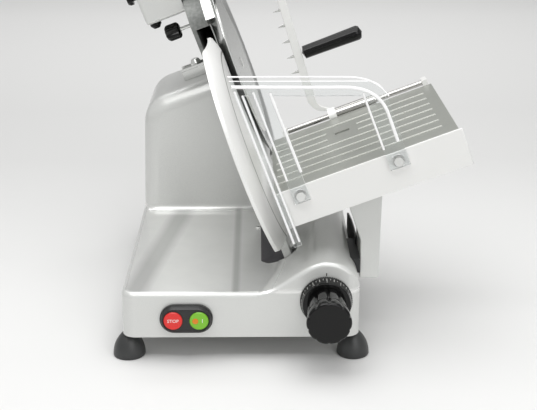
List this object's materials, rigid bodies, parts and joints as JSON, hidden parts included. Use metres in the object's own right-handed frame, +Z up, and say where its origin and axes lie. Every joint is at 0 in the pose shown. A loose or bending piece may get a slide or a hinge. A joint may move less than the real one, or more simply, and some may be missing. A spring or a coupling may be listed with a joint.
{
  "type": "meat slicer",
  "caption": "Gravity-feed meat slicer with a leaning round blade, sliding food table, thickness knob, gauge plate, food press, clear hand guard and sharpener.",
  "frame": {"origin": "middle of the bounding box, on the plane the feet stand on", "axes": "+X to the operator's right, +Y away from the operator along the carriage's travel, +Z up"},
  "size_m": [0.48, 0.592, 0.5192],
  "materials": {
    "cast_silver": "satin silver enamel on cast aluminium",
    "polished": "polished aluminium",
    "brushed": "brushed stainless steel",
    "bright": "bright chrome",
    "rubber": "moulded black rubber",
    "black": "glossy black phenolic",
    "red": "red moulded plastic",
    "green": "green moulded plastic",
    "amber": "amber lamp lens",
    "grey": "grey moulded plastic",
    "motor_paint": "dark enamel on a steel can",
    "clear": "clear acrylic",
    "stone": "bonded grinding stone",
    "brass": "bronze bush"
  },
  "bodies": {
    "frame": {"base_casting": "cast_silver", "belt_cover": "brushed", "blade_axle": "bright", "blade_column": "cast_silver", "blade_cover": "brushed", "bottom_cover": "brushed", "bracket_nut": "bright", "cable_gland": "rubber", "capacitor": "grey", "cover_screw": "bright", "drive_belt": "rubber", "foot_screws": "bright", "gauge_guide_rod": "bright", "guard_ring": "polished", "knob_bushes": "brass", "motor": "motor_paint", "rubber_feet": "rubber", "sharpener_cover": "cast_silver", "sharpener_post": "bright", "slice_deflector": "brushed", "slide_rod": "bright", "switch_bezel": "rubber", "switch_body": "grey", "top_bracket": "polished"},
    "stop": {"stop_button": "red"},
    "start": {"start_button": "green", "pilot_lamp": "amber"},
    "knob": {"thickness_knob": "black", "index_dial": "black", "knob_shaft": "bright", "scroll_cam": "grey"},
    "gauge": {"gauge_plate": "polished", "gauge_carrier": "cast_silver", "gauge_screws": "bright"},
    "blade_rotor": {"blade": "bright", "blade_pulley": "polished", "blade_screws": "bright", "blade_bearings": "bright"},
    "motor_rotor": {"motor_shaft": "bright", "motor_pulley": "polished"},
    "carriage": {"carriage_block": "polished", "slide_bushes": "brass", "carriage_arm": "cast_silver", "food_table": "polished", "table_apron": "polished", "press_rod": "bright", "rod_brackets": "polished", "hand_guard": "clear", "guard_screws": "bright"},
    "press_slider": {"press_bush": "brass"},
    "press": {"press_sleeve": "bright", "press_arm": "polished", "press_spikes": "bright", "press_handle": "black"},
    "sharpening_push": {"sharpening_button": "black"},
    "sharpening_wheel": {"sharpening_stone": "stone"},
    "deburring_push": {"deburring_button": "black"},
    "deburring_wheel": {"deburring_stone": "stone"},
    "tie": {"tie_knob": "black"},
    "cover_lock": {"sharpener_lock_knob": "black"}
  },
  "joints": [
    {"name": "stop_press", "type": "slide", "parent": "frame", "child": "stop", "axis": [0, 1, 0], "range_m": [0, 0.003], "stiffness_N_per_m": 300, "springref_m": -0.001},
    {"name": "start_press", "type": "slide", "parent": "frame", "child": "start", "axis": [0, 1, 0], "range_m": [0, 0.003], "stiffness_N_per_m": 300, "springref_m": -0.001},
    {"name": "knob_turn", "type": "hinge", "parent": "frame", "child": "knob", "pos_m": [0.04978, -0.22198, 0.088], "axis": [0, 1, 0], "range_deg": [-133.33, 166.67]},
    {"name": "gauge_slide", "type": "slide", "parent": "frame", "child": "gauge", "axis": [-0.9367, 0, -0.3502], "range_m": [-0.008, 0.01]},
    {"name": "blade_spin", "type": "hinge", "parent": "frame", "child": "blade_rotor", "pos_m": [-0.06322, 0.12802, 0.3345], "axis": [0.9367, 0, 0.3502], "continuous": true},
    {"name": "motor_spin", "type": "hinge", "parent": "frame", "child": "motor_rotor", "pos_m": [-0.01069, 0.20303, 0.194], "axis": [0.9367, 0, 0.3502], "continuous": true},
    {"name": "carriage_slide", "type": "slide", "parent": "frame", "child": "carriage", "axis": [0, 1, 0], "range_m": [0, 0.25]},
    {"name": "press_slide", "type": "slide", "parent": "carriage", "child": "press_slider", "axis": [0.9367, 0, 0.3502], "range_m": [-0.045, 0.06]},
    {"name": "press_swing", "type": "hinge", "parent": "press_slider", "child": "press", "pos_m": [0.06967, 0.06603, 0.26461], "axis": [0.9367, 0, 0.3502], "range_deg": [0, 80]},
    {"name": "sharpening_slide", "type": "slide", "parent": "frame", "child": "sharpening_push", "axis": [0.9367, 0, 0.3502], "range_m": [0, 0.007], "stiffness_N_per_m": 200, "springref_m": -0.001},
    {"name": "sharpening_spin", "type": "hinge", "parent": "sharpening_push", "child": "sharpening_wheel", "pos_m": [-0.13449, 0.12802, 0.468], "axis": [0.9367, 0, 0.3502], "continuous": true},
    {"name": "deburring_slide", "type": "slide", "parent": "frame", "child": "deburring_push", "axis": [-0.9367, 0, -0.3502], "range_m": [0, 0.005], "stiffness_N_per_m": 200, "springref_m": -0.001},
    {"name": "deburring_spin", "type": "hinge", "parent": "deburring_push", "child": "deburring_wheel", "pos_m": [-0.10732, 0.12802, 0.47815], "axis": [0.9367, 0, 0.3502], "continuous": true},
    {"name": "tie_turn", "type": "hinge", "parent": "frame", "child": "tie", "pos_m": [-0.14744, 0.13803, 0.38842], "axis": [0.9367, 0, 0.3502], "range_deg": [0, 90]},
    {"name": "cover_lock_turn", "type": "hinge", "parent": "frame", "child": "cover_lock", "pos_m": [-0.20092, 0.15502, 0.39725], "axis": [-0.3502, 0, 0.9367], "range_deg": [0, 90]}
  ],
  "couplings": [
    {"joint": "knob_turn", "follows": "gauge_slide", "rad_per_m": 290.89},
    {"joint": "motor_spin", "follows": "blade_spin", "ratio": 3.3333}
  ]
}
